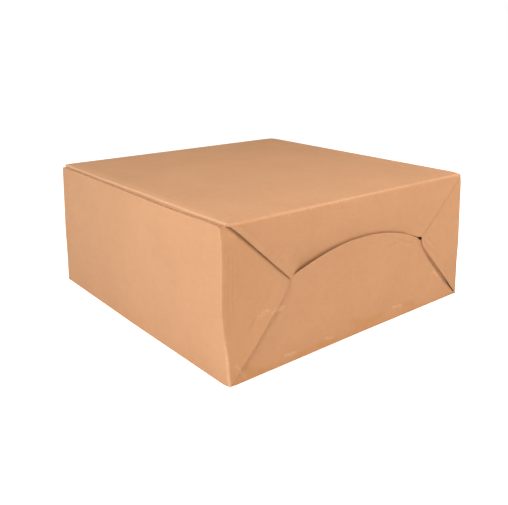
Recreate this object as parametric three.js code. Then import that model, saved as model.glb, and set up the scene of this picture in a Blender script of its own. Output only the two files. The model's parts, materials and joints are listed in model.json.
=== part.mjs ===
// A kraft paperboard cake box, folded from one die-cut blank and closed without glue.
// Millimetres, +Z up. The origin is the centre of the base's underside, +X runs to the right end
// and +Y to the rear wall, which carries the lid. The scene graph is the blank's fold tree: every
// panel hangs on the panel that it is folded up from, turned by its crease's own fold angle.

import * as THREE from 'three';

// Closed box, over its outer faces
const BOX_LENGTH = 254;
const BOX_DEPTH = 254;
const BOX_HEIGHT = 110;

// Board, folds and the air between boards
const BOARD = 0.6;
const FOLD_RADIUS = 1.2;
const LAYER_GAP = 0.3;
const CREASE_GAP = 0.2;
const CORNER_GAP = 0.6;

// Front wall, which springs outwards, more at its right end, and the tuck flap slipped in behind it
const FRONT_LEAN_RIGHT = THREE.MathUtils.degToRad(1.9);
const FRONT_LEAN_LEFT = THREE.MathUtils.degToRad(0.3);
const FRONT_RIM_DROP = 2.2;
const TUCK_INSET = 2.4;
const TUCK_LEAN = THREE.MathUtils.degToRad(5);
const TUCK_DEPTH = 25;
const TUCK_SIDE_GAP = 0.9;
const TUCK_TAPER = 5;
const TUCK_CORNER_RADIUS = 9;

// Locked ends: where the four flaps meet, the bottom flap's arch and the lid flap's lip behind it
const MEET_INSET = 55;
const MEET_HEIGHT = 62;
const SEAM_OVERLAP = 3;
const SIDE_TIP_DROP = 8;
const SIDE_TIP_SLANT = 3;
const SIDE_TIP_RADIUS = 4;
const FRONT_SHOULDER_DROP = 1.4;
const REAR_SHOULDER_DROP = 1;
const ARCH_RISE = 16;
const ARCH_SWELL = 3;
const LIP_HEIGHT = 65;
const LIP_HALF_WIDTH = 56;
const LIP_SHOULDER = 4;
const LIP_DIP = 3.6;
const LIP_DIP_RUN = 17;
const SHOULDER_GAP = 0.4;

// Facets of the folds and of the bent panels
const FOLD_STEPS = 6;
const ROUND_STEPS = 6;
const FLAP_STEPS_ACROSS = 36;
const FLAP_STEPS_DOWN = 6;

const FOLD_OUTSIDE = FOLD_RADIUS + BOARD;
const LAYER = BOARD + LAYER_GAP;
const SQUARE = Math.PI / 2;

// The end flaps lie on each other, so each panel's length steps in by the layers outside it
const LID_FLAP_LAYER = 0;
const SIDE_FLAP_LAYER = 1;
const BOTTOM_FLAP_LAYER = 2;
const halfLength = (layer) => BOX_LENGTH / 2 - layer * LAYER - FOLD_OUTSIDE;

const KRAFT = { color: 0xd9a476, roughness: 0.82, metalness: 0 };
const KRAFT_FOLD = { color: 0xe0b086, roughness: 0.86, metalness: 0 };

function addMesh(parent, name, geometry, finish) {
  const mesh = new THREE.Mesh(geometry, new THREE.MeshStandardMaterial(finish));
  mesh.name = name;
  parent.add(mesh);
}

// A crease on a panel. Its groups have their origin on the bend's centre line, with x along the
// crease, y away from the parent panel and z towards the inside of the box. The leaf group is
// turned up by the fold angle, and everything on the far side of the crease goes into it.
function addFold(parent, x, y, turn, angle) {
  const hinge = new THREE.Group();
  hinge.position.set(x, y, 0);
  hinge.rotation.z = turn;
  const leaf = new THREE.Group();
  leaf.rotation.x = angle;
  hinge.add(leaf);
  parent.add(hinge);
  return { hinge, leaf, angle };
}

// The bent strip of board along a crease, from x = low to x = high
function addCrease(fold, name, low, high) {
  const middle = FOLD_RADIUS + BOARD / 2;
  const start = -SQUARE + CREASE_GAP / middle;
  const end = -SQUARE + fold.angle - CREASE_GAP / middle;
  const section = new THREE.Shape();
  section.absarc(0, 0, FOLD_OUTSIDE, start, end, false);
  section.absarc(0, 0, FOLD_RADIUS, end, start, true);
  const strip = new THREE.ExtrudeGeometry(section, {
    depth: high - low,
    bevelEnabled: false,
    curveSegments: FOLD_STEPS,
  });
  const alongCrease = new THREE.Matrix4().makeBasis(
    new THREE.Vector3(0, 1, 0),
    new THREE.Vector3(0, 0, 1),
    new THREE.Vector3(1, 0, 0),
  );
  strip.applyMatrix4(alongCrease);
  strip.translate(low, 0, 0);
  addMesh(fold.hinge, name, strip, KRAFT_FOLD);
}

// A flat panel cut to an outline. Its outer face lies one outside fold radius below the bend line.
function addPanel(leaf, name, outline) {
  const panel = new THREE.ExtrudeGeometry(outline, {
    depth: BOARD,
    bevelEnabled: false,
    curveSegments: ROUND_STEPS,
  });
  panel.translate(0, 0, -FOLD_OUTSIDE);
  addMesh(leaf, name, panel, KRAFT);
}

function rectangle(low, high, near, far) {
  const outline = new THREE.Shape();
  outline.moveTo(low, near);
  outline.lineTo(high, near);
  outline.lineTo(high, far);
  outline.lineTo(low, far);
  outline.closePath();
  return outline;
}

// A panel that is bent in use: a slab of cells whose edges follow place(across, down), with both
// parameters from 0 to 1, and whose outer face stands out by relief(x, y).
function addDishedPanel(leaf, name, place, relief) {
  const slab = new THREE.BoxGeometry(1, 1, 1, FLAP_STEPS_ACROSS, FLAP_STEPS_DOWN, 1);
  const points = slab.getAttribute('position');
  for (let i = 0; i < points.count; i += 1) {
    const { x, y } = place(points.getX(i) + 0.5, points.getY(i) + 0.5);
    const outside = -FOLD_OUTSIDE - relief(x, y);
    const isInside = points.getZ(i) > 0;
    points.setXYZ(i, x, y, isInside ? outside + BOARD : outside);
  }
  slab.computeVertexNormals();
  addMesh(leaf, name, slab, KRAFT);
}

// Outline of the locked ends, as a distance from the box's middle plane and a height
const MEET_HALF_WIDTH = BOX_DEPTH / 2 - MEET_INSET;
const ARCH_RADIUS = (MEET_HALF_WIDTH ** 2 + ARCH_RISE ** 2) / (2 * ARCH_RISE);

function archHeight(fromMiddle) {
  const reach = Math.min(Math.abs(fromMiddle), MEET_HALF_WIDTH);
  const sag = ARCH_RADIUS - Math.sqrt(ARCH_RADIUS ** 2 - reach ** 2);
  return MEET_HEIGHT + ARCH_RISE - sag;
}

function lipHeight(fromMiddle) {
  const reach = Math.abs(fromMiddle);
  const shoulder = archHeight(reach) + SHOULDER_GAP;
  const share = THREE.MathUtils.smoothstep(reach, LIP_HALF_WIDTH, LIP_HALF_WIDTH + LIP_SHOULDER);
  return THREE.MathUtils.lerp(LIP_HEIGHT, shoulder, share);
}

// The bottom flap swells outwards under its arch
function archRelief(fromMiddle, height) {
  const across = Math.max(0, 1 - (fromMiddle / MEET_HALF_WIDTH) ** 2);
  return ARCH_SWELL * across * (height / (MEET_HEIGHT + ARCH_RISE));
}

// The lid flap dips inwards between the side flaps, to reach behind the arch
function lipRelief(fromMiddle, depth) {
  const reach = Math.abs(fromMiddle);
  const start = LIP_HALF_WIDTH - LIP_SHOULDER / 2;
  const across = 1 - THREE.MathUtils.smoothstep(reach, start, start + LIP_DIP_RUN);
  return -LIP_DIP * across * (depth / (BOX_HEIGHT - LIP_HEIGHT));
}

// How far the flaps' outer corners stand in from the box's front and rear planes
const REAR_CORNER_INSET = FOLD_OUTSIDE + CORNER_GAP;
const FRONT_CORNER_INSET = TUCK_INSET + REAR_CORNER_INSET;

// Bottom flap, folded up from the base's end. Its sloping edges hide under the side flaps.
function addBottomFlap(fold, side) {
  const footHalf = BOX_DEPTH / 2 - REAR_CORNER_INSET;
  const headHalf = MEET_HALF_WIDTH + SEAM_OVERLAP;
  const place = (across, down) => {
    const share = 2 * across - 1;
    const head = archHeight(share * headHalf) - FOLD_OUTSIDE;
    return {
      x: share * THREE.MathUtils.lerp(footHalf, headHalf, down),
      y: THREE.MathUtils.lerp(CREASE_GAP, head, down),
    };
  };
  addDishedPanel(fold.leaf, `${side}_bottom_flap`, place, (x, y) => archRelief(x, y + FOLD_OUTSIDE));
  addCrease(fold, `${side}_bottom_flap_crease`, -footHalf, footHalf);
}

// Lid flap, folded down from the lid's end over the side flaps. Its lip tucks in behind the arch.
function addLidFlap(fold, side, frontSign) {
  const frontHalf = BOX_DEPTH / 2 - FRONT_CORNER_INSET;
  const rearHalf = BOX_DEPTH / 2 - REAR_CORNER_INSET;
  const creaseFront = BOX_DEPTH / 2 - TUCK_INSET - CORNER_GAP;
  const creaseRear = BOX_DEPTH / 2 - CORNER_GAP;
  const span = (front, rear) => (frontSign > 0 ? [-rear, front] : [-front, rear]);
  const [low, high] = span(frontHalf, rearHalf);
  const place = (across, down) => {
    const lipX = THREE.MathUtils.lerp(-MEET_HALF_WIDTH, MEET_HALF_WIDTH, across);
    const lip = BOX_HEIGHT - FOLD_OUTSIDE - lipHeight(lipX);
    return {
      x: THREE.MathUtils.lerp(THREE.MathUtils.lerp(low, high, across), lipX, down),
      y: THREE.MathUtils.lerp(CREASE_GAP, lip, down),
    };
  };
  addDishedPanel(fold.leaf, `${side}_lid_flap`, place, (x, y) => lipRelief(x, y + FOLD_OUTSIDE));
  addCrease(fold, `${side}_lid_flap_crease`, ...span(creaseFront, creaseRear));
}

// Side flap, folded in from a wall's end: a long triangle with a blunt tip. Its lower edge shows and
// its upper edge runs in under the lid flap, from a shoulder below the lid's corner. The tip stands
// at the meeting point, whatever the wall's lean.
function addSideFlap(fold, name, upSign, { lean, rim, cornerInset, shoulderDrop }) {
  const inWall = (inset, height) => {
    const inward = inset - FOLD_OUTSIDE;
    const upward = height - FOLD_OUTSIDE;
    return new THREE.Vector2(
      upSign * (upward * Math.cos(lean) - inward * Math.sin(lean)),
      inward * Math.cos(lean) + upward * Math.sin(lean),
    );
  };
  const foot = new THREE.Vector2(upSign * CORNER_GAP, CREASE_GAP);
  const lowTip = inWall(MEET_INSET - SIDE_TIP_SLANT, MEET_HEIGHT - SIDE_TIP_DROP);
  const highTip = inWall(MEET_INSET, MEET_HEIGHT + SEAM_OVERLAP);
  const shoulder = inWall(cornerInset, BOX_HEIGHT - FOLD_OUTSIDE - shoulderDrop);
  const head = new THREE.Vector2(upSign * (rim - CORNER_GAP), CREASE_GAP);
  const roundStart = lowTip.clone().lerp(foot, SIDE_TIP_RADIUS / lowTip.distanceTo(foot));
  const roundEnd = lowTip.clone().lerp(highTip, SIDE_TIP_RADIUS / lowTip.distanceTo(highTip));
  const outline = new THREE.Shape();
  outline.moveTo(foot.x, foot.y);
  outline.lineTo(roundStart.x, roundStart.y);
  outline.quadraticCurveTo(lowTip.x, lowTip.y, roundEnd.x, roundEnd.y);
  outline.lineTo(highTip.x, highTip.y);
  outline.lineTo(shoulder.x, shoulder.y);
  outline.lineTo(head.x, head.y);
  outline.closePath();
  addPanel(fold.leaf, name, outline);
  addCrease(fold, `${name}_crease`, Math.min(foot.x, head.x), Math.max(foot.x, head.x));
}

const box = new THREE.Group();

// Base, lying flat, with its bend lines one outside fold radius above the underside
const base = new THREE.Group();
base.position.z = FOLD_OUTSIDE;
box.add(base);
const baseHalfLength = halfLength(BOTTOM_FLAP_LAYER);
const baseHalfDepth = BOX_DEPTH / 2 - FOLD_OUTSIDE;
const basePanelX = baseHalfLength - CREASE_GAP;
const basePanelY = baseHalfDepth - CREASE_GAP;
addPanel(base, 'base_panel', rectangle(-basePanelX, basePanelX, -basePanelY, basePanelY));

// Front wall, folded up from the base's front edge and twisted, with a lean of its own at each end.
// Its x axis runs to the left end.
const wallHalfLength = halfLength(SIDE_FLAP_LAYER);
const wallPanelX = wallHalfLength - CREASE_GAP;
const frontRise = BOX_HEIGHT - FRONT_RIM_DROP - FOLD_OUTSIDE;
const frontFold = addFold(base, 0, -baseHalfDepth, Math.PI, SQUARE);
const placeFront = (across, up) => ({
  x: THREE.MathUtils.lerp(-wallPanelX, wallPanelX, across),
  y: THREE.MathUtils.lerp(CREASE_GAP, frontRise, up),
});
const frontRelief = (x, y) => {
  const toLeft = THREE.MathUtils.inverseLerp(-wallHalfLength, wallHalfLength, x);
  return y * THREE.MathUtils.lerp(Math.tan(FRONT_LEAN_RIGHT), Math.tan(FRONT_LEAN_LEFT), toLeft);
};
addDishedPanel(frontFold.leaf, 'front_wall', placeFront, frontRelief);
addCrease(frontFold, 'front_wall_crease', -basePanelX, basePanelX);

// Rear wall, folded up from the base's rear edge
const rearRim = BOX_HEIGHT - 2 * FOLD_OUTSIDE;
const rearFold = addFold(base, 0, baseHalfDepth, 0, SQUARE);
const rearWall = rectangle(-wallPanelX, wallPanelX, CREASE_GAP, rearRim - CREASE_GAP);
addPanel(rearFold.leaf, 'rear_wall', rearWall);
addCrease(rearFold, 'rear_wall_crease', -basePanelX, basePanelX);

// Lid, folded forwards from the rear wall's top edge
const lidHalfLength = halfLength(LID_FLAP_LAYER);
const lidPanelX = lidHalfLength - CREASE_GAP;
const lidReach = BOX_DEPTH - TUCK_INSET - 2 * FOLD_OUTSIDE;
const lidFold = addFold(rearFold.leaf, 0, rearRim, 0, SQUARE);
const lid = rectangle(-lidPanelX, lidPanelX, CREASE_GAP, lidReach - CREASE_GAP);
addPanel(lidFold.leaf, 'lid_panel', lid);
addCrease(lidFold, 'lid_crease', -wallPanelX, wallPanelX);

// Tuck flap, folded down and in from the lid's front edge, between the ends' side flaps, with its
// free corners tapered and rounded
const tuckFold = addFold(lidFold.leaf, 0, lidReach, 0, SQUARE + TUCK_LEAN);
const tuckRoot = wallHalfLength + FOLD_RADIUS - TUCK_SIDE_GAP;
const tuckTip = tuckRoot - TUCK_TAPER;
const tuckRound = TUCK_CORNER_RADIUS;
const tuck = new THREE.Shape();
tuck.moveTo(-tuckRoot, CREASE_GAP);
tuck.lineTo(tuckRoot, CREASE_GAP);
tuck.lineTo(tuckTip, TUCK_DEPTH - tuckRound);
tuck.quadraticCurveTo(tuckTip, TUCK_DEPTH, tuckTip - tuckRound, TUCK_DEPTH);
tuck.lineTo(-tuckTip + tuckRound, TUCK_DEPTH);
tuck.quadraticCurveTo(-tuckTip, TUCK_DEPTH, -tuckTip, TUCK_DEPTH - tuckRound);
tuck.closePath();
addPanel(tuckFold.leaf, 'tuck_flap', tuck);
addCrease(tuckFold, 'tuck_crease', -tuckRoot, tuckRoot);

// The two locked ends. A crease's x axis runs the other way on the other end, so each flap takes
// the sign of the direction that it needs.
const frontFlap = (lean) => ({
  lean,
  rim: frontRise / Math.cos(lean),
  cornerInset: FRONT_CORNER_INSET,
  shoulderDrop: FRONT_SHOULDER_DROP,
});
const rearFlap = {
  lean: 0,
  rim: rearRim,
  cornerInset: REAR_CORNER_INSET,
  shoulderDrop: REAR_SHOULDER_DROP,
};
for (const [side, sign, lean] of [['right', 1, FRONT_LEAN_RIGHT], ['left', -1, FRONT_LEAN_LEFT]]) {
  const outwards = -sign * SQUARE;
  const middleOfLid = BOX_DEPTH / 2 - FOLD_OUTSIDE;
  addBottomFlap(addFold(base, sign * baseHalfLength, 0, outwards, SQUARE), side);
  const frontEdge = new THREE.Group();
  frontEdge.rotation.x = -lean;
  frontFold.leaf.add(frontEdge);
  const frontSide = addFold(frontEdge, -sign * wallHalfLength, 0, -outwards, SQUARE);
  addSideFlap(frontSide, `${side}_front_side_flap`, sign, frontFlap(lean));
  const rearSide = addFold(rearFold.leaf, sign * wallHalfLength, 0, outwards, SQUARE);
  addSideFlap(rearSide, `${side}_rear_side_flap`, -sign, rearFlap);
  const lidEnd = addFold(lidFold.leaf, sign * lidHalfLength, middleOfLid, outwards, SQUARE);
  addLidFlap(lidEnd, side, -sign);
}

export default box;
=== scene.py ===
import json
import math

import bmesh
import bpy
from mathutils import Matrix, Vector


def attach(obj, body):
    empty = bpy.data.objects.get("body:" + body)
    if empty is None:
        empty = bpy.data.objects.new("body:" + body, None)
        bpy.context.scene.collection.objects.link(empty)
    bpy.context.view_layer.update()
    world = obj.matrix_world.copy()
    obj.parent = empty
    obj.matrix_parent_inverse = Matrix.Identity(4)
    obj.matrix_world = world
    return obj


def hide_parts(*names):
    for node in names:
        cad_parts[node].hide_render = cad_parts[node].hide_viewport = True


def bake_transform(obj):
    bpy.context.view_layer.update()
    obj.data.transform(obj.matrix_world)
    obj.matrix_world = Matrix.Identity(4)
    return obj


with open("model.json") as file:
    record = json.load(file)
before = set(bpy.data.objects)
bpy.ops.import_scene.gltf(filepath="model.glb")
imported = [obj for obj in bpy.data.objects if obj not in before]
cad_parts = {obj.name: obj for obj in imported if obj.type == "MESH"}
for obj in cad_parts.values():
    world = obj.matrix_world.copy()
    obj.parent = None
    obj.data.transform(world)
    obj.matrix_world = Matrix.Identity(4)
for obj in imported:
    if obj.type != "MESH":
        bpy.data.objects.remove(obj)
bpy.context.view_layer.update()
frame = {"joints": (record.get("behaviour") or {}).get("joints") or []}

scene = bpy.context.scene

# Base panel
# The middle of the die-cut blank, solid kraft board that lies flat on the table. Every other panel
# hangs on it through the scored creases. The helpers here make every sheet of board in the box.
MM = 0.001
JOINTS = {joint["name"]: joint for joint in frame["joints"]}
FOLD = JOINTS["front_wall_fold"]["pos_m"][2]
BOARD = 0.6 * MM
# Free width at a panel's root, so that two panels laid flat don't touch
HAIRLINE = 0.04 * MM


def space(origin, along, away):
    """Frame of a panel: x along its crease, y away from the crease, z to the inside of the box."""
    along = Vector(along).normalized()
    away = Vector(away).normalized()
    inside = along.cross(away)
    return Matrix.Translation(origin) @ Matrix((along, away, inside)).transposed().to_4x4()


def ease(value, low, high):
    """0 below low, 1 above high, and smooth between them."""
    share = min(max((value - low) / (high - low), 0.0), 1.0)
    return share * share * (3 - 2 * share)


def wave(x, y, length, phase=0.0):
    """Slow uneven waviness of a sheet, between -1 and 1."""
    turn = 2 * math.pi / length
    along = math.sin(turn * x + phase + math.cos(turn * y))
    across = math.sin(turn * y * 0.8 + 2 * phase)
    return 0.5 * along + 0.5 * across


# The foot of the box is turned a little about its upright axis, most of all at the front
TWIST = math.radians(0.7)
TWIST_TOP = 55 * MM
TWIST_FADE = 60 * MM
# Soft corners: the corner's place, how far round it the dent reaches, and the push
CRUSHED_CORNERS = (
    (Vector((127, -124.6, 110)) * MM, 12 * MM, Vector((-2.2, 0, 0)) * MM),
    (Vector((127, 127, 110)) * MM, 9 * MM, Vector((-0.4, -0.6, -0.7)) * MM),
    (Vector((-127, 127, 110)) * MM, 10 * MM, Vector((0.3, -0.4, -0.3)) * MM),
    (Vector((126, -127, 0)) * MM, 7 * MM, Vector((-0.7, 0.7, 0.8)) * MM),
)


def settle(bm, place):
    """Puts a piece in its place in the box, which stands a little twisted and has soft corners."""
    bm.transform(place)
    for vert in bm.verts:
        x, y, z = vert.co
        turn = TWIST * (1 - ease(z, 0, TWIST_TOP))
        to_rear = ease(y, -TWIST_FADE, TWIST_FADE)
        vert.co.x -= turn * y * (1 - 0.7 * to_rear)
        vert.co.y += turn * max(x, 0) * (1 - to_rear)
        for corner, reach, push in CRUSHED_CORNERS:
            vert.co += push * (1 - ease((vert.co - corner).length, 0, reach))


def link(name, bm, materials):
    """Makes an object of a finished mesh, smooth but for its sharp edges."""
    bmesh.ops.recalc_face_normals(bm, faces=bm.faces[:])
    for face in bm.faces:
        face.smooth = True
    mesh = bpy.data.meshes.new(name)
    bm.to_mesh(mesh)
    bm.free()
    mesh.set_sharp_from_angle(angle=math.radians(50))
    for material in materials:
        mesh.materials.append(material)
    piece = bpy.data.objects.new(name, mesh)
    scene.collection.objects.link(piece)
    return piece


def sheet(name, place, outline, step, relief, shift=None, wear_and_highlight=None):
    """A panel cut to an outline: a lattice of cells, stood out by relief(x, y) and given its board.

    shift(x, y) moves it in its own plane. The last function is over 0 for pale scuff marks and painted
    fold highlights, and under 0 for stains.
    """
    bm = bmesh.new()
    wear_and_highlight_layer = bm.verts.layers.float.new("wear_and_highlight")
    bm.faces.new([bm.verts.new((x, y or HAIRLINE, 0)) for x, y in outline])
    for axis in (0, 1):
        low = min(point[axis] for point in outline)
        high = max(point[axis] for point in outline)
        cells = max(2, round((high - low) / step))
        normal = Vector((axis == 0, axis == 1, 0))
        for i in range(1, cells):
            bmesh.ops.bisect_plane(
                bm,
                geom=bm.verts[:] + bm.edges[:] + bm.faces[:],
                plane_co=normal * (low + (high - low) * i / cells),
                plane_no=normal,
            )
    for vert in bm.verts:
        x, y = vert.co.x, vert.co.y
        vert.co.z = -FOLD - relief(x, y)
        if wear_and_highlight:
            vert[wear_and_highlight_layer] = wear_and_highlight(x, y)
        if shift:
            vert.co.y += shift(x, y)
    inner = bmesh.ops.extrude_face_region(bm, geom=bm.faces[:], use_keep_orig=True)
    raised = [item for item in inner["geom"] if isinstance(item, bmesh.types.BMVert)]
    bmesh.ops.translate(bm, verts=raised, vec=(0, 0, BOARD))
    for vert in raised:
        vert[wear_and_highlight_layer] = 0
    bmesh.ops.recalc_face_normals(bm, faces=bm.faces[:])
    for face in bm.faces:
        outside, inside = face.normal.z < -0.5, face.normal.z > 0.5
        face.material_index = 0 if outside else 1 if inside else 2
    settle(bm, place)
    return link(f"{name}_board", bm, (BOARD_OUTSIDE, BOARD_INSIDE, BOARD_EDGE))


def fibre_group():
    """Shared paper pattern: cloudy shade, specks, a height, pale scuff marks and painted fold highlights
    where the given mark is over 0, and stains where it is under 0.
    """
    group = bpy.data.node_groups.new("kraft_fibres", "ShaderNodeTree")
    for entry in ("Wear_and_highlight", "Patchiness"):
        group.interface.new_socket(entry, in_out="INPUT", socket_type="NodeSocketFloat")
    for output in ("Shade", "Specks", "Scuffs_and_highlights", "Stains", "Height"):
        group.interface.new_socket(output, in_out="OUTPUT", socket_type="NodeSocketFloat")
    nodes, links = group.nodes, group.links
    given = nodes.new("NodeGroupInput")
    coords = nodes.new("ShaderNodeTexCoord")

    def noise(scale, detail, stretch=(1, 1, 1)):
        mapping = nodes.new("ShaderNodeMapping")
        mapping.inputs["Scale"].default_value = stretch
        texture = nodes.new("ShaderNodeTexNoise")
        texture.inputs["Scale"].default_value = scale
        texture.inputs["Detail"].default_value = detail
        texture.inputs["Roughness"].default_value = 0.6
        links.new(coords.outputs["Object"], mapping.inputs["Vector"])
        links.new(mapping.outputs["Vector"], texture.inputs["Vector"])
        return texture.outputs["Fac"]

    def math_node(operation, first, second):
        node = nodes.new("ShaderNodeMath")
        node.operation = operation
        for socket, value in zip(node.inputs, (first, second)):
            if isinstance(value, (int, float)):
                socket.default_value = value
            else:
                links.new(value, socket)
        return node.outputs[0]

    clouds = noise(18, 3)
    mottle = noise(170, 4)
    grain = noise(750, 2)
    threads = noise(900, 2, (0.16, 1, 1))
    cross = noise(900, 2, (1, 0.16, 1))
    fibres = math_node("MULTIPLY", math_node("ADD", threads, cross), 0.5)
    shade = math_node("ADD", math_node("MULTIPLY", clouds, 0.35), math_node("MULTIPLY", mottle, 0.2))
    shade = math_node("ADD", shade, math_node("MULTIPLY", grain, 0.3))
    shade = math_node("ADD", shade, math_node("MULTIPLY", fibres, 0.15))
    specks = math_node("GREATER_THAN", noise(520, 1), 0.79)
    patches = math_node("MULTIPLY", math_node("SUBTRACT", noise(650, 2), 0.35), 3)
    broken = math_node("MULTIPLY", patches, given.outputs["Patchiness"])
    # The pale mask: scuff marks, and painted highlights along the folds.
    scuffs_and_highlights = math_node("MAXIMUM", math_node("SUBTRACT", given.outputs["Wear_and_highlight"], broken), 0)
    scuffs_and_highlights = math_node("MULTIPLY", scuffs_and_highlights, math_node("GREATER_THAN", given.outputs["Wear_and_highlight"], 0.01))
    stains = math_node("MAXIMUM", math_node("MULTIPLY", given.outputs["Wear_and_highlight"], -1), 0)
    stains = math_node("MULTIPLY", stains, math_node("ADD", mottle, 0.5))
    height = math_node("ADD", math_node("MULTIPLY", fibres, 0.6), math_node("MULTIPLY", mottle, 0.4))
    out = nodes.new("NodeGroupOutput")
    links.new(shade, out.inputs["Shade"])
    links.new(specks, out.inputs["Specks"])
    links.new(scuffs_and_highlights, out.inputs["Scuffs_and_highlights"])
    links.new(stains, out.inputs["Stains"])
    links.new(height, out.inputs["Height"])
    return group


FIBRES = fibre_group()
FIBRE_HEIGHT = 0.12 * MM


def kraft(name, dark, light, roughness, grain, patchiness=0.7):
    """Kraft paper of two near tones, with specks, pale scuff marks and painted fold highlights, ochre
    stains and a fine raised fibre.
    """
    material = bpy.data.materials.new(name)
    material.use_nodes = True
    nodes, links = material.node_tree.nodes, material.node_tree.links
    shader = nodes["Principled BSDF"]
    fibres = nodes.new("ShaderNodeGroup")
    fibres.node_tree = FIBRES
    fibres.inputs["Patchiness"].default_value = patchiness
    wear_and_highlight = nodes.new("ShaderNodeAttribute")
    wear_and_highlight.attribute_name = "wear_and_highlight"
    links.new(wear_and_highlight.outputs["Fac"], fibres.inputs["Wear_and_highlight"])
    tone = nodes.new("ShaderNodeValToRGB")
    tone.color_ramp.elements[0].position = 0.36
    tone.color_ramp.elements[0].color = (*dark, 1)
    tone.color_ramp.elements[1].position = 0.64
    tone.color_ramp.elements[1].color = (*light, 1)
    links.new(fibres.outputs["Shade"], tone.inputs["Fac"])
    colour = tone.outputs["Color"]
    # Pale paint for scuff marks and for painted highlights along the folds, and ochre paint for stains.
    for mask, paint in (
        ("Specks", (dark[0] * 0.84, dark[1] * 0.8, dark[2] * 0.76, 1)),
        ("Scuffs_and_highlights", (light[0] * 1.2, light[1] * 1.35, light[2] * 1.5, 1)),
        ("Stains", (dark[0], dark[1] * 0.93, dark[2] * 0.55, 1)),
    ):
        mix = nodes.new("ShaderNodeMix")
        mix.data_type = "RGBA"
        mix.inputs["B"].default_value = paint
        links.new(fibres.outputs[mask], mix.inputs["Factor"])
        links.new(colour, mix.inputs["A"])
        colour = mix.outputs["Result"]
    links.new(colour, shader.inputs["Base Color"])
    height = nodes.new("ShaderNodeBump")
    height.inputs["Strength"].default_value = grain
    height.inputs["Distance"].default_value = FIBRE_HEIGHT
    links.new(fibres.outputs["Height"], height.inputs["Height"])
    links.new(height.outputs["Normal"], shader.inputs["Normal"])
    shader.inputs["Roughness"].default_value = roughness
    shader.inputs["Specular IOR Level"].default_value = 0.3
    return material


BOARD_OUTSIDE = kraft("kraft_outside", (0.525, 0.29, 0.157), (0.585, 0.335, 0.187), 0.72, 0.35)
BOARD_INSIDE = kraft("kraft_inside", (0.52, 0.29, 0.16), (0.6, 0.34, 0.195), 0.85, 0.5)
# The cut edges are painted paler than the faces: a painted highlight along them.
BOARD_EDGE = kraft("kraft_cut_edge", (0.55, 0.32, 0.18), (0.66, 0.4, 0.24), 0.9, 0.6)


def board(piece, body, node):
    """Lets a panel ride on its body in place of its plain node."""
    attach(piece, body)
    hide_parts(node)


base_x = JOINTS["right_bottom_fold"]["pos_m"][0]
base_y = JOINTS["rear_wall_fold"]["pos_m"][1]
base_place = space((0, 0, FOLD), (1, 0, 0), (0, 1, 0))
base_outline = [(-base_x, -base_y), (base_x, -base_y), (base_x, base_y), (-base_x, base_y)]


def base_relief(x, y):
    return -0.2 * MM * abs(wave(x, y, 0.2))


base = sheet("base_panel", base_place, base_outline, 12 * MM, base_relief)
board(base, "base", "base_panel")

# Front wall
# A panel of the same board, folded up from the base's front edge along a scored crease. Its rim is
# not held by the lid, so it springs outwards, most of all at the right end.
# The outside of the folds is painted a little paler and more even than the flat board: partly worn,
# stretched fibre, partly a painted highlight on the round of the fold.
FOLD_OUTSIDE = kraft("kraft_fold_outside", (0.535, 0.297, 0.16), (0.6, 0.345, 0.192), 0.78, 0.5, 0.3)


def crease(name, place, angle, low, high, step, sway=None, wear_and_highlight=lambda x: 0.35, edge=lambda x: 2):
    """The bent strip of a scored crease: a line of points spun round the bend's centre line.

    edge(x) is the power of its rounding: 2 is a round bend, and more is a sharper one.
    """
    bm = bmesh.new()
    wear_and_highlight_layer = bm.verts.layers.float.new("wear_and_highlight")
    count = max(2, round((high - low) / step))
    points = [bm.verts.new((low + (high - low) * i / count, 0, -FOLD)) for i in range(count + 1)]
    edges = [bm.edges.new(pair) for pair in zip(points, points[1:])]
    bmesh.ops.spin(bm, geom=points + edges, cent=(0, 0, 0), axis=(1, 0, 0), angle=angle, steps=8)
    inner = bmesh.ops.extrude_face_region(bm, geom=bm.faces[:], use_keep_orig=True)
    for item in inner["geom"]:
        if isinstance(item, bmesh.types.BMVert):
            item.co.yz *= (FOLD - BOARD) / FOLD
    bmesh.ops.recalc_face_normals(bm, faces=bm.faces[:])
    for face in bm.faces:
        middle = face.calc_center_median()
        outward = face.normal.yz.dot(middle.yz.normalized())
        face.material_index = 0 if outward > 0.5 else 1 if outward < -0.5 else 2
    for vert in bm.verts:
        turn, power = math.atan2(vert.co.y, -vert.co.z), edge(vert.co.x)
        # The given paint peaks in the middle of the bend. On most folds it is pale: partly worn fibre,
        # partly a painted highlight on the round of the fold.
        vert[wear_and_highlight_layer] = wear_and_highlight(vert.co.x) * math.sin(math.pi * min(max(turn / angle, 0.0), 1.0))
        vert.co.yz *= (abs(math.cos(turn)) ** power + abs(math.sin(turn)) ** power) ** (-1 / power)
        if sway:
            vert.co += Vector(sway(vert.co.x))
    settle(bm, place)
    return link(f"{name}_strip", bm, (FOLD_OUTSIDE, BOARD_INSIDE, BOARD_EDGE))


def bend(piece, node):
    """Bakes a crease strip in place, from the parent panel's edge to the child panel's edge, and hides
    its plain node.
    """
    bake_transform(piece)
    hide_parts(node)


def bump(value, middle, width):
    """1 at the middle, falling off smoothly over the width."""
    return math.exp(-(((value - middle) / width) ** 2))


SQUARE = math.pi / 2
wall_x = JOINTS["right_rear_side_fold"]["pos_m"][0]
LEAN = {"right": math.radians(1.9), "left": math.radians(0.3)}
front_at = Vector(JOINTS["front_wall_fold"]["pos_m"])
front_rise = 106 * MM
near_bow = 1.3 * MM
near_bow_height = 50 * MM
near_bow_spread = 26 * MM


def near_bulge(height):
    """How far the near edge of the front wall bows out from its straight lean, and in at its rim."""
    bow = near_bow * bump(height, near_bow_height, near_bow_spread)
    at_rim = 0.05 * MM * ease(height, 70 * MM, 104 * MM)
    return bow * (1 - ease(height, 70 * MM, 100 * MM)) - at_rim


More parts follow.
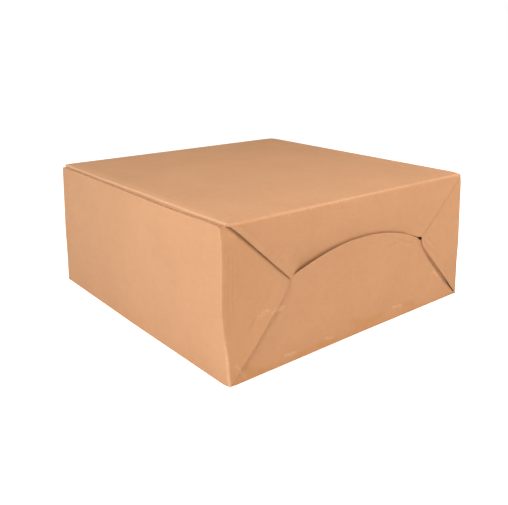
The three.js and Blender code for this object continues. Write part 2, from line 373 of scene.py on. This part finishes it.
def front_relief(x, y):
    """The wall's lean, its bowed near edge, a hollow along its middle and a faint ripple."""
    to_left = (x + wall_x) / (2 * wall_x)
    lean = y * ((1 - to_left) * math.tan(LEAN["right"]) + to_left * math.tan(LEAN["left"]))
    near = 1 - ease(x, -wall_x, wall_x * 0.2)
    bow = -0.6 * MM * math.sin(math.pi * to_left) * ease(y, 0, front_rise)
    ripple = 0.12 * MM * wave(x, y, 0.09, 1.0) * math.sin(math.pi * y / front_rise)
    return lean + near * near_bulge(y) + bow + ripple * math.sin(math.pi * to_left)


def rim_rise(x):
    """How far the rim comes up at the near corner, where the board stands a little high."""
    return 1.4 * MM * (1 - ease(x, -wall_x, -wall_x + 70 * MM))


front_place = space(front_at, (-1, 0, 0), (0, 0, 1))
front_outline = [(-wall_x, 0), (wall_x, 0), (wall_x, front_rise), (-wall_x, front_rise)]
front_wall = sheet(
    "front_wall", front_place, front_outline, 5 * MM, front_relief,
    lambda x, y: rim_rise(x) * (y / front_rise) ** 4,
)
board(front_wall, "front", "front_wall")
front_fold = space(front_at, (-1, 0, 0), (0, -1, 0))
base_end = base_x + 1.6 * MM
front_crease = crease("front_wall_crease", front_fold, SQUARE, -base_end, base_end, 6 * MM)
bend(front_crease, "front_wall_crease")

# Rear wall
# A plain panel of the same board, folded up from the base's rear edge. The lid is folded from its
# top edge, so it is held there and stands square.
rear_at = Vector(JOINTS["rear_wall_fold"]["pos_m"])
rear_rise = JOINTS["lid_fold"]["pos_m"][2] - rear_at.z


def rear_relief(x, y):
    """A slight hollow between the wall's four held edges."""
    held = math.sin(math.pi * y / rear_rise) * math.cos(math.pi * x / (2 * wall_x))
    return -0.5 * MM * held + 0.15 * MM * held * wave(x, y, 0.1, 2.0)


rear_place = space(rear_at, (1, 0, 0), (0, 0, 1))
rear_outline = [(-wall_x, 0), (wall_x, 0), (wall_x, rear_rise), (-wall_x, rear_rise)]
rear_wall = sheet("rear_wall", rear_place, rear_outline, 6 * MM, rear_relief)
board(rear_wall, "rear", "rear_wall")
rear_fold = space(rear_at, (1, 0, 0), (0, 1, 0))
rear_crease = crease("rear_wall_crease", rear_fold, SQUARE, -base_x, base_x, 6 * MM)
bend(rear_crease, "rear_wall_crease")

# Lid
# The largest panel, folded forwards from the rear wall's top edge. The board is held only along its
# folds, so it sags a little in the middle and slopes down along its front fold.
lid_at = Vector(JOINTS["lid_fold"]["pos_m"])
tuck_at = Vector(JOINTS["tuck_fold"]["pos_m"])
lid_x = JOINTS["right_lid_flap_fold"]["pos_m"][0]
lid_reach = lid_at.y - tuck_at.y


def slack(x):
    """1 where the lid's front fold hangs free, 0 at its two ends, where the lid flaps hold it."""
    return (1 - ease(x, 92 * MM, 122 * MM)) * ease(x, -lid_x, -lid_x + 16 * MM)


def front_drop(x):
    """How far the lid's front fold hangs down, a little more at the left."""
    return (0.85 - 0.15 * x / lid_x) * MM * slack(x)


def front_run(x):
    """Width of the strip along the front fold that slopes down to it, wider at the far end."""
    return (4.8 - 2 * x / lid_x) * MM


def lid_relief(x, y):
    """The lid's sag, a trough along its rear fold at the right, and the slope to its front fold."""
    held = math.cos(math.pi * x / (2 * lid_x)) * math.sin(math.pi * y / lid_reach)
    sag = -0.9 * MM * held + 0.2 * MM * held * wave(x, y, 0.11)
    trough = -0.6 * MM * bump(y, 15 * MM, 9 * MM) * ease(x, -60 * MM, 60 * MM)
    sloped = -front_drop(x) * max(0.0, 1 - (lid_reach - y) / front_run(x)) ** 1.2
    return sag + trough * (1 - ease(x, 100 * MM, lid_x)) + sloped


def front_pull(x):
    """How far the lid's front fold is drawn back from its corner's line, and how uneven it is."""
    ripple = 0.25 * MM * math.sin(52 * x + 1) + 0.15 * MM * math.sin(131 * x)
    return (0.9 * MM + ripple) * slack(x)


def lid_rub_and_highlight(x, y):
    """Pale paint along the two end folds, less towards the rear and at the front corners: partly
    rubbing, partly a painted highlight on the folds.
    """
    from_rear = 0.2 + 0.8 * ease(y, 60 * MM, 160 * MM)
    at_ends = 0.5 * ease(abs(x), lid_x - 3.5 * MM, lid_x) * from_rear
    return at_ends * (1 - 0.7 * ease(y, lid_reach - 40 * MM, lid_reach))


lid_place = space(lid_at, (1, 0, 0), (0, -1, 0))
lid_outline = [(-lid_x, 0), (lid_x, 0), (lid_x, lid_reach), (-lid_x, lid_reach)]
lid = sheet(
    "lid_panel", lid_place, lid_outline, 1.6 * MM, lid_relief,
    lambda x, y: -front_pull(x) * (y / lid_reach) ** 4, lid_rub_and_highlight,
)
board(lid, "lid", "lid_panel")
lid_fold = space(lid_at, (1, 0, 0), (0, 0, 1))
lid_crease = crease("lid_crease", lid_fold, SQUARE, -wall_x, wall_x, 6 * MM)
bend(lid_crease, "lid_crease")

# Tuck flap
# A strip of the lid's board, folded down and in from its front edge and slipped behind the front wall,
# which holds the lid shut by friction. Its free corners are tapered and round, to find their way in.
TUCK_LEAN = math.radians(5)
tuck_root = 124.6 * MM
tuck_tip = tuck_root - 5 * MM
tuck_depth = 25 * MM
tuck_round = 9 * MM
round_steps = 8
tuck_outline = [(-tuck_root, 0), (tuck_root, 0)]
for side in (1, -1):
    corner = []
    for i in range(round_steps + 1):
        turn = SQUARE * i / round_steps
        corner.append((
            side * (tuck_tip - tuck_round * (1 - math.cos(turn))),
            tuck_depth - tuck_round * (1 - math.sin(turn)),
        ))
    tuck_outline += corner if side > 0 else corner[::-1]
tuck_place = space(tuck_at, (1, 0, 0), (0, math.sin(TUCK_LEAN), -math.cos(TUCK_LEAN)))
tuck = sheet(
    "tuck_flap", tuck_place, tuck_outline, 5 * MM,
    lambda x, y: 1.2 * MM * ease(y, 0, 5 * MM) - front_pull(x),
    lambda x, y: front_drop(x),
    # Pale paint just under the fold: a painted highlight carried on from the fold, which also lightens
    # the shaded band above the front wall's rim.
    lambda x, y: 0.9 * (1 - ease(y, 3 * MM, 8 * MM)),
)
board(tuck, "tuck", "tuck_flap")
tuck_fold = space(tuck_at, (1, 0, 0), (0, -1, 0))
tuck_end = lid_x + 0.4 * MM
# The tuck fold's strip is painted pale: partly worn, partly a painted highlight on the fold.
tuck_crease = crease(
    "tuck_crease", tuck_fold, SQUARE + TUCK_LEAN, -tuck_end, tuck_end, 3 * MM,
    lambda x: (0, -front_pull(x), front_drop(x)), lambda x: 0.8,
)
bend(tuck_crease, "tuck_crease")

# Locked ends
# Four flaps of the same board shut each end without glue. The bottom flap has an arched edge and
# stands out under it, the two side flaps lie over its slopes with blunt tips, and the lid flap lies
# over the side flaps and its lip goes in behind the arch.
half_depth = 127 * MM
box_top = 110 * MM
meet_inset = 55 * MM
meet_half = half_depth - meet_inset
meet_height = 62 * MM
seam_overlap = 3 * MM
arch_rise = 16 * MM
arch_radius = (meet_half ** 2 + arch_rise ** 2) / (2 * arch_rise)
lip_height = 65 * MM
lip_half = 56 * MM
corner_inset = 2.4 * MM
tuck_inset = 2.4 * MM
tip_back = 3 * MM
front_tip_drop = 8 * MM


def arch_height(from_middle):
    """Height of the bottom flap's arched edge, and of its ends beyond the arch."""
    reach = min(abs(from_middle), meet_half)
    return meet_height + arch_rise - arch_radius + math.sqrt(arch_radius ** 2 - reach ** 2)


def lip_line(to_rear):
    """Height of the lid flap's lower edge. Its front part goes in behind nearly the whole arch."""
    shoulder = lip_half if to_rear > 0 else lip_half + 12 * MM
    share = ease(abs(to_rear), shoulder, shoulder + 4 * MM)
    rounded = 1.4 * MM * ease(to_rear, meet_half - 4 * MM, meet_half)
    lip = lip_height - 3 * MM * ease(-to_rear, 40 * MM, 60 * MM)
    return lip + share * (arch_height(to_rear) + 0.4 * MM - lip) + rounded


def arch_relief(to_rear, y):
    """How far the bottom flap stands out, more towards its arch."""
    across = max(0.0, 1 - (abs(to_rear) / meet_half) ** (2 if to_rear > 0 else 6))
    return 3 * MM * across * (y + FOLD) / (meet_height + arch_rise)


def lip_relief(to_rear, y):
    """The lid flap's slight belly, and how far its lip is pressed in to go behind the arch."""
    fade = lip_half - 10 * MM if to_rear > 0 else lip_half + 5 * MM
    across = 1 - ease(abs(to_rear), fade, lip_half + 18 * MM)
    share = (y + FOLD) / (box_top - lip_height)
    crown = math.sin(math.pi * min(share, 1.0)) * math.cos(math.pi * to_rear / (2 * half_depth))
    return 0.6 * MM * crown - 3.4 * MM * across * share ** 2.8


def stroke(y, z, start, end, width):
    """How near a point of an end is to a short line on it: 1 on the line, 0 away from it."""
    along = Vector(end) - Vector(start)
    off = Vector((y / MM, z / MM)) - Vector(start)
    share = min(max(off.dot(along) / along.length_squared, 0.0), 1.0)
    return bump((off - along * share).length, 0, width)


# Lines pressed into the flaps, and pale scuffs and ochre stains on them, each from one point to
# another in millimetres, towards the rear wall and up
LID_FLAP_LINES = (
    ((-116, 108), (-95, 89)), ((-117, 109), (-116, 105)), ((-93, 91), (-94, 88)),
    ((-87, 78), (-78, 82)), ((-85, 79), (-78, 73)), ((-89, 82), (-82, 86)),
)
BOTTOM_FLAP_LINES = (
    ((43, 66), (63, 59)), ((30, 63), (44, 64)), ((76, 37), (87, 41)), ((89, 28), (115, 13)),
    ((96, 28), (91, 22)), ((104, 24), (99, 17)), ((-119, 13), (-113, 9)), ((-116, 8), (-110, 6)),
)
SIDE_FLAP_LINES = (
    ((77, 57), (95, 42)), ((82, 60), (92, 51)), ((79, 52), (84, 49)), ((107, 31), (107, 28)),
    ((-120.5, 91), (-121, 34)), ((-117.5, 88), (-118, 36)), ((-106, 35), (-100, 42)),
    ((-121, 15), (-116, 12)),
)
SCUFFS = (
    ((-77, 7), (-67, 6.5)), ((-38, 7.5), (-30, 6)), ((40, 11), (50, 9.5)), ((-100, 42), (-91, 43.5)),
    ((-87, 41), (-78, 43)), ((-120, 14), (-113, 4)), ((93, 28), (113, 14)),
)
STAINS = (
    ((-8, 13), (3, 9)), ((-3, 7), (25, 8)), ((56, 9), (66, 7)), ((-45, 5), (-28, 3)),
    ((-66, 4), (-58, 3)), ((-117, 6), (-98, 3)), ((-112, 10), (-106, 7)),
)


def pressed(y, z, lines):
    """Relief of the pressed lines at a point of an end."""
    return -0.42 * MM * max(stroke(y, z, start, end, 1) for start, end in lines)


def scuffed(y, z):
    """Strength of the pale scuff marks at a point of an end."""
    return 0.7 * max(stroke(y, z, start, end, 1.8) for start, end in SCUFFS)


def stained(y, z):
    """Strength of the ochre stains at a point of an end."""
    return 0.5 * max(stroke(y, z, start, end, 2.4) for start, end in STAINS)


def spread(low, high, count):
    """Even steps from low to high."""
    return [low + (high - low) * i / count for i in range(count + 1)]


def front_fold_rub_and_highlight(x):
    """Pale paint on a front corner's fold, near its foot: partly rubbing, partly a painted highlight."""
    return 0.7 * (1 - ease(abs(x), 18 * MM, 44 * MM))


def rear_fold_rub_and_highlight(x):
    """Pale paint on a rear corner's fold, near its top: partly rubbing, partly a painted highlight."""
    return 0.5 * bump(abs(x), 85 * MM, 22 * MM)


for side, sign in (("right", 1), ("left", -1)):
    # Bottom flap, folded up from the base's end
    bottom_at = Vector(JOINTS[f"{side}_bottom_fold"]["pos_m"])
    foot = half_depth - corner_inset
    head = meet_half + seam_overlap
    fine = 1 * MM if side == "right" else 2 * MM
    outline = [(-foot, 0), (foot, 0)]
    for x in spread(head, -head, 60):
        cut_back = 1.6 * MM * ease(-x * sign, meet_half - 3 * MM, meet_half + 1 * MM)
        outline.append((x, arch_height(x) - FOLD - cut_back))
    place = space(bottom_at, (0, -sign, 0), (0, 0, 1))

    def bottom_relief(x, y):
        """The swell under the arch, dips along the side flaps' lower edges, and pressed lines."""
        tip = Vector((meet_inset - tip_back - half_depth, meet_height - front_tip_drop - FOLD))
        seam = tip - Vector((-foot, 0))
        sunk = 0
        for to_rear, depth, width in ((1, 0.8 * MM, 2.5 * MM), (-1, 0.9 * MM, 3 * MM)):
            from_seam = (y * seam.x - (x * sign * to_rear + foot) * seam.y) / seam.length
            near = ease(y, 0, 9 * MM) * (1 - ease(y, 40 * MM, 56 * MM))
            sunk += depth * bump(from_seam, 0, width) * near
        return arch_relief(-x * sign, y) - sunk + pressed(-x * sign, y + FOLD, BOTTOM_FLAP_LINES)

    def bottom_wear(x, y):
        """Pale scuff marks, stains, and a tanned strip along the foot."""
        at_foot = 0.3 * (1 - ease(y, 0, 5 * MM))
        return scuffed(-x * sign, y + FOLD) - stained(-x * sign, y + FOLD) - at_foot

    bottom = sheet(f"{side}_bottom_flap", place, outline, fine, bottom_relief, wear_and_highlight=bottom_wear)
    board(bottom, f"{side}_bottom", f"{side}_bottom_flap")
    fold = space(bottom_at, (0, -sign, 0), (sign, 0, 0))
    foot_end = foot + 1.6 * MM
    strip = crease(
        f"{side}_bottom_flap_crease", fold, SQUARE, -foot_end, foot_end, 6 * MM, wear_and_highlight=lambda x: -0.6,
    )
    bend(strip, f"{side}_bottom_flap_crease")

    # Side flaps, folded in from the walls' ends
    front_inset = corner_inset + tuck_inset + 1.7 * MM
    for wall, lean, rise, inset, drop, tip_inset, tip_drop, tip_round in (
        ("front", LEAN[side], front_rise, front_inset, 0.2 * MM, meet_inset, front_tip_drop, 4 * MM),
        ("rear", 0.0, rear_rise, corner_inset, 1 * MM, meet_inset - 2 * MM, 6 * MM, 2.5 * MM),
    ):
        side_at = Vector(JOINTS[f"{side}_{wall}_side_fold"]["pos_m"])
        inward = 1 if wall == "front" else -1
        up_sign = sign * inward
        up = Vector((0, -inward * math.sin(lean), math.cos(lean)))
        into = Vector((0, inward * math.cos(lean), math.sin(lean)))

        def in_wall(from_front, height):
            """A point of the end in the flap's own frame, which leans with its wall."""
            reach, rise_to = from_front - FOLD, height - FOLD
            return (
                up_sign * (rise_to * math.cos(lean) - reach * math.sin(lean)),
                reach * math.cos(lean) + rise_to * math.sin(lean),
            )

        low_tip = Vector(in_wall(meet_inset - tip_back, meet_height - tip_drop))
        high_tip = Vector(in_wall(tip_inset, meet_height + seam_overlap))
        shoulder = in_wall(inset, box_top - FOLD - drop)
        root_low = Vector((up_sign * 0.6 * MM, 0))
        nearest = (side, wall) == ("right", "front")
        above = rim_rise(-wall_x) if nearest else 0.0
        root_high = (up_sign * (rise / math.cos(lean) - 0.6 * MM + above), 0)
        start = low_tip + (root_low - low_tip).normalized() * tip_round
        end = low_tip + (high_tip - low_tip).normalized() * tip_round
        outline = [tuple(root_low)]
        for share in spread(0, 1, 6):
            first, second = start.lerp(low_tip, share), low_tip.lerp(end, share)
            outline.append(tuple(first.lerp(second, share)))
        outline += [tuple(high_tip), shoulder, root_high]
        place = space(side_at, up * up_sign, into)
        bowed = near_bulge if nearest else lambda height: 0.0
        sunk, sunk_width = (1.3 * MM, 1.7 * MM) if wall == "front" else (1.1 * MM, 1.6 * MM)
        lifted = 1 * MM if wall == "front" else 0.3 * MM
        # The nearest flap is painted a little darker and yellower towards its fold.
        near_flap_tint = 0.15 if nearest else 0
        low_edge = low_tip - root_low

        def on_end(x, y):
            """A point of the flap as its place on the end, towards the rear wall and up."""
            return side_at.y + inward * y, side_at.z + x * up_sign

        def side_relief(x, y):
            """Pressed lines, a dip along the lid flap's edge, and a lower edge that lifts off."""
            seam = Vector(shoulder) - high_tip
            to_lid = ((high_tip.y - y) * seam.x - (high_tip.x - x) * seam.y) / seam.length
            wider = 2 - ease((Vector((x, y)) - Vector(shoulder)).length, 0, 22 * MM)
            dip = sunk * bump(to_lid, 0, sunk_width * wider) * ease(y, 0, 5 * MM)
            from_edge = abs((x - root_low.x) * low_edge.y - y * low_edge.x) / low_edge.length
            lift = lifted * max(0.0, 1 - from_edge / (10 * MM)) * ease(y, 6 * MM, 25 * MM)
            lift *= 1 - ease(y, 40 * MM, 52 * MM)
            return pressed(*on_end(x, y), SIDE_FLAP_LINES) - dip + lift

        flap = sheet(
            f"{side}_{wall}_side_flap", place, outline, fine, side_relief,
            lambda x, y: -bowed(abs(x)) * (1 - ease(y, 0, 26 * MM)),
            lambda x, y: scuffed(*on_end(x, y)) - near_flap_tint * (1 - ease(y, 15 * MM, 50 * MM)),
        )
        board(flap, f"{side}_{wall}_side", f"{side}_{wall}_side_flap")
        fold = space(side_at, up * up_sign, (sign, 0, 0))
        # Each corner fold gets pale paint: partly rubbing, partly a painted highlight.
        corner_fold_rub_and_highlight = front_fold_rub_and_highlight if wall == "front" else rear_fold_rub_and_highlight
        ends = sorted((up_sign * -1.2 * MM, root_high[0]))
        strip = crease(
            f"{side}_{wall}_side_flap_crease", fold, SQUARE, ends[0], ends[1], 3 * MM,
            lambda x: (0, 0, -bowed(abs(x))), corner_fold_rub_and_highlight, lambda x: 2 + 5 * ease(abs(x), 30 * MM, 50 * MM),
        )
        bend(strip, f"{side}_{wall}_side_flap_crease")

    # Lid flap, folded down from the lid's end
    lid_end_at = Vector(JOINTS[f"{side}_lid_flap_fold"]["pos_m"])
    front_end, rear_end = half_depth - corner_inset - tuck_inset, half_depth - corner_inset
    low, high = (-front_end, rear_end) if sign > 0 else (-rear_end, front_end)
    outline = [(low, 0), (high, 0)]
    outline += [(x, box_top - FOLD - lip_line(x * sign)) for x in spread(meet_half, -meet_half, 72)]
    place = space(lid_end_at, (0, sign, 0), (0, 0, -1))

    def lid_flap_fold_rub_and_highlight(to_rear):
        """Pale paint along the lid flap's fold, most of all in its front half: partly rubbing, partly a
        painted highlight.
        """
        return ease(to_rear, -front_end, -70 * MM) * (1 - 0.7 * ease(to_rear, -30 * MM, 60 * MM))

    lid_flap = sheet(
        f"{side}_lid_flap", place, outline, fine,
        lambda x, y: lip_relief(x * sign, y) + pressed(x * sign, lid_end_at.z - y, LID_FLAP_LINES),
        # Pale paint on the lid flap just under its fold: partly rubbing, partly a painted highlight.
        wear_and_highlight=lambda x, y: 0.4 * (1 - ease(y, 0, 3 * MM)) * lid_flap_fold_rub_and_highlight(x * sign),
    )
    board(lid_flap, f"{side}_lid_end", f"{side}_lid_flap")
    fold = space(lid_end_at, (0, sign, 0), (sign, 0, 0))
    fold_front, fold_rear = 124.3 * MM, 125.6 * MM
    low, high = (-fold_front, fold_rear) if sign > 0 else (-fold_rear, fold_front)
    # The fold's strip is painted pale too: partly rubbing, partly a painted highlight.
    strip = crease(
        f"{side}_lid_flap_crease", fold, SQUARE, low, high, 3 * MM,
        wear_and_highlight=lambda x: 0.15 + 0.3 * lid_flap_fold_rub_and_highlight(x * sign),
    )
    bend(strip, f"{side}_lid_flap_crease")

# Table, light and camera
# A plain white table and white surroundings under soft lights: from the front, over the near corner,
# on the right end from three sides, and over the lid's left. The camera looks at the near corner.
# The table lies a hair lower than the box, so that the two don't share a plane.
TABLE_DROP = 0.1 * MM
bm = bmesh.new()
bmesh.ops.create_circle(bm, cap_ends=True, segments=96, radius=30)
bmesh.ops.translate(bm, verts=bm.verts[:], vec=(0, 0, -TABLE_DROP))
white = bpy.data.materials.new("white_table")
white.use_nodes = True
table_nodes, table_links = white.node_tree.nodes, white.node_tree.links
table_shader = table_nodes["Principled BSDF"]
table_shader.inputs["Base Color"].default_value = (0.9, 0.9, 0.9, 1)
table_shader.inputs["Roughness"].default_value = 0.6
table_shader.inputs["Specular IOR Level"].default_value = 0.1
table_shader.inputs["Emission Color"].default_value = (1, 1, 1, 1)
table_path = table_nodes.new("ShaderNodeLightPath")
table_coords = table_nodes.new("ShaderNodeTexCoord")
from_box = table_nodes.new("ShaderNodeVectorMath")
from_box.operation = "LENGTH"
whiter = table_nodes.new("ShaderNodeMapRange")
whiter.inputs["From Min"].default_value = 0.4
whiter.inputs["From Max"].default_value = 2
whiter.inputs["To Min"].default_value = 0.88
whiter.inputs["To Max"].default_value = 1
seen = table_nodes.new("ShaderNodeMath")
seen.operation = "MULTIPLY"
table_links.new(table_coords.outputs["Object"], from_box.inputs[0])
table_links.new(from_box.outputs["Value"], whiter.inputs["Value"])
table_links.new(whiter.outputs["Result"], seen.inputs[0])
table_links.new(table_path.outputs["Is Camera Ray"], seen.inputs[1])
table_links.new(seen.outputs[0], table_shader.inputs["Emission Strength"])
floor = link("table", bm, (white,))

world = bpy.data.worlds.new("studio")
scene.world = world
world.use_nodes = True
world_nodes, world_links = world.node_tree.nodes, world.node_tree.links
world_nodes["Background"].inputs["Color"].default_value = (1, 1, 1, 1)
world_path = world_nodes.new("ShaderNodeLightPath")
ambient = world_nodes.new("ShaderNodeMath")
ambient.operation = "MAXIMUM"
ambient.inputs[1].default_value = 0.06
world_links.new(world_path.outputs["Is Camera Ray"], ambient.inputs[0])
world_links.new(ambient.outputs[0], world_nodes["Background"].inputs["Strength"])


def softbox(name, at, aim, size, power, tint=(1, 1, 1)):
    """A square soft light at a point, turned to its aim."""
    light = bpy.data.lights.new(name, "AREA")
    light.size = size
    light.energy = power
    light.color = tint
    lamp = bpy.data.objects.new(name, light)
    lamp.location = at
    lamp.rotation_mode = "QUATERNION"
    lamp.rotation_quaternion = (Vector(aim) - Vector(at)).to_track_quat("-Z", "Y")
    scene.collection.objects.link(lamp)


WARM = (1, 0.78, 0.6)
softbox("front", (0.15, -1.1, 0.5), (0, 0, 0.05), 0.6, 8.45)
softbox("near_corner", (0.25, -0.55, 0.45), (0.1, -0.1, 0.05), 0.3, 1.33, WARM)
softbox("right_front", (0.7, -0.3, 0.4), (0.127, 0, 0.06), 0.3, 0.32, WARM)
softbox("right_end", (0.75, 0.55, 0.5), (0.1, 0.05, 0.05), 0.4, 4.38, (1, 0.86, 0.66))
softbox("above_end", (0.32, 0.1, 0.47), (0.127, 0.02, 0.09), 0.2, 1.08, (1, 0.89, 0.89))
softbox("top_left", (-0.3, 0, 0.8), (-0.05, 0, 0.1), 0.4, 1.96, (1, 1, 0.94))

picture_width = 508
focal_pixels = 655.09
shift_pixels = 124.94
camera = bpy.data.cameras.new("camera")
camera.sensor_width = 36
camera.lens = focal_pixels * 36 / picture_width
camera.shift_y = -shift_pixels / picture_width
viewer = bpy.data.objects.new("camera", camera)
turn, tilt = math.radians(51.16), math.radians(7.98)
toward = Vector((-math.sin(turn) * math.cos(tilt), math.cos(turn) * math.cos(tilt), -math.sin(tilt)))
viewer.location = (0.44659, -0.36184, 0.22749)
viewer.rotation_mode = "QUATERNION"
viewer.rotation_quaternion = toward.to_track_quat("-Z", "Y")
scene.collection.objects.link(viewer)
scene.camera = viewer
scene.view_settings.view_transform = "Standard"
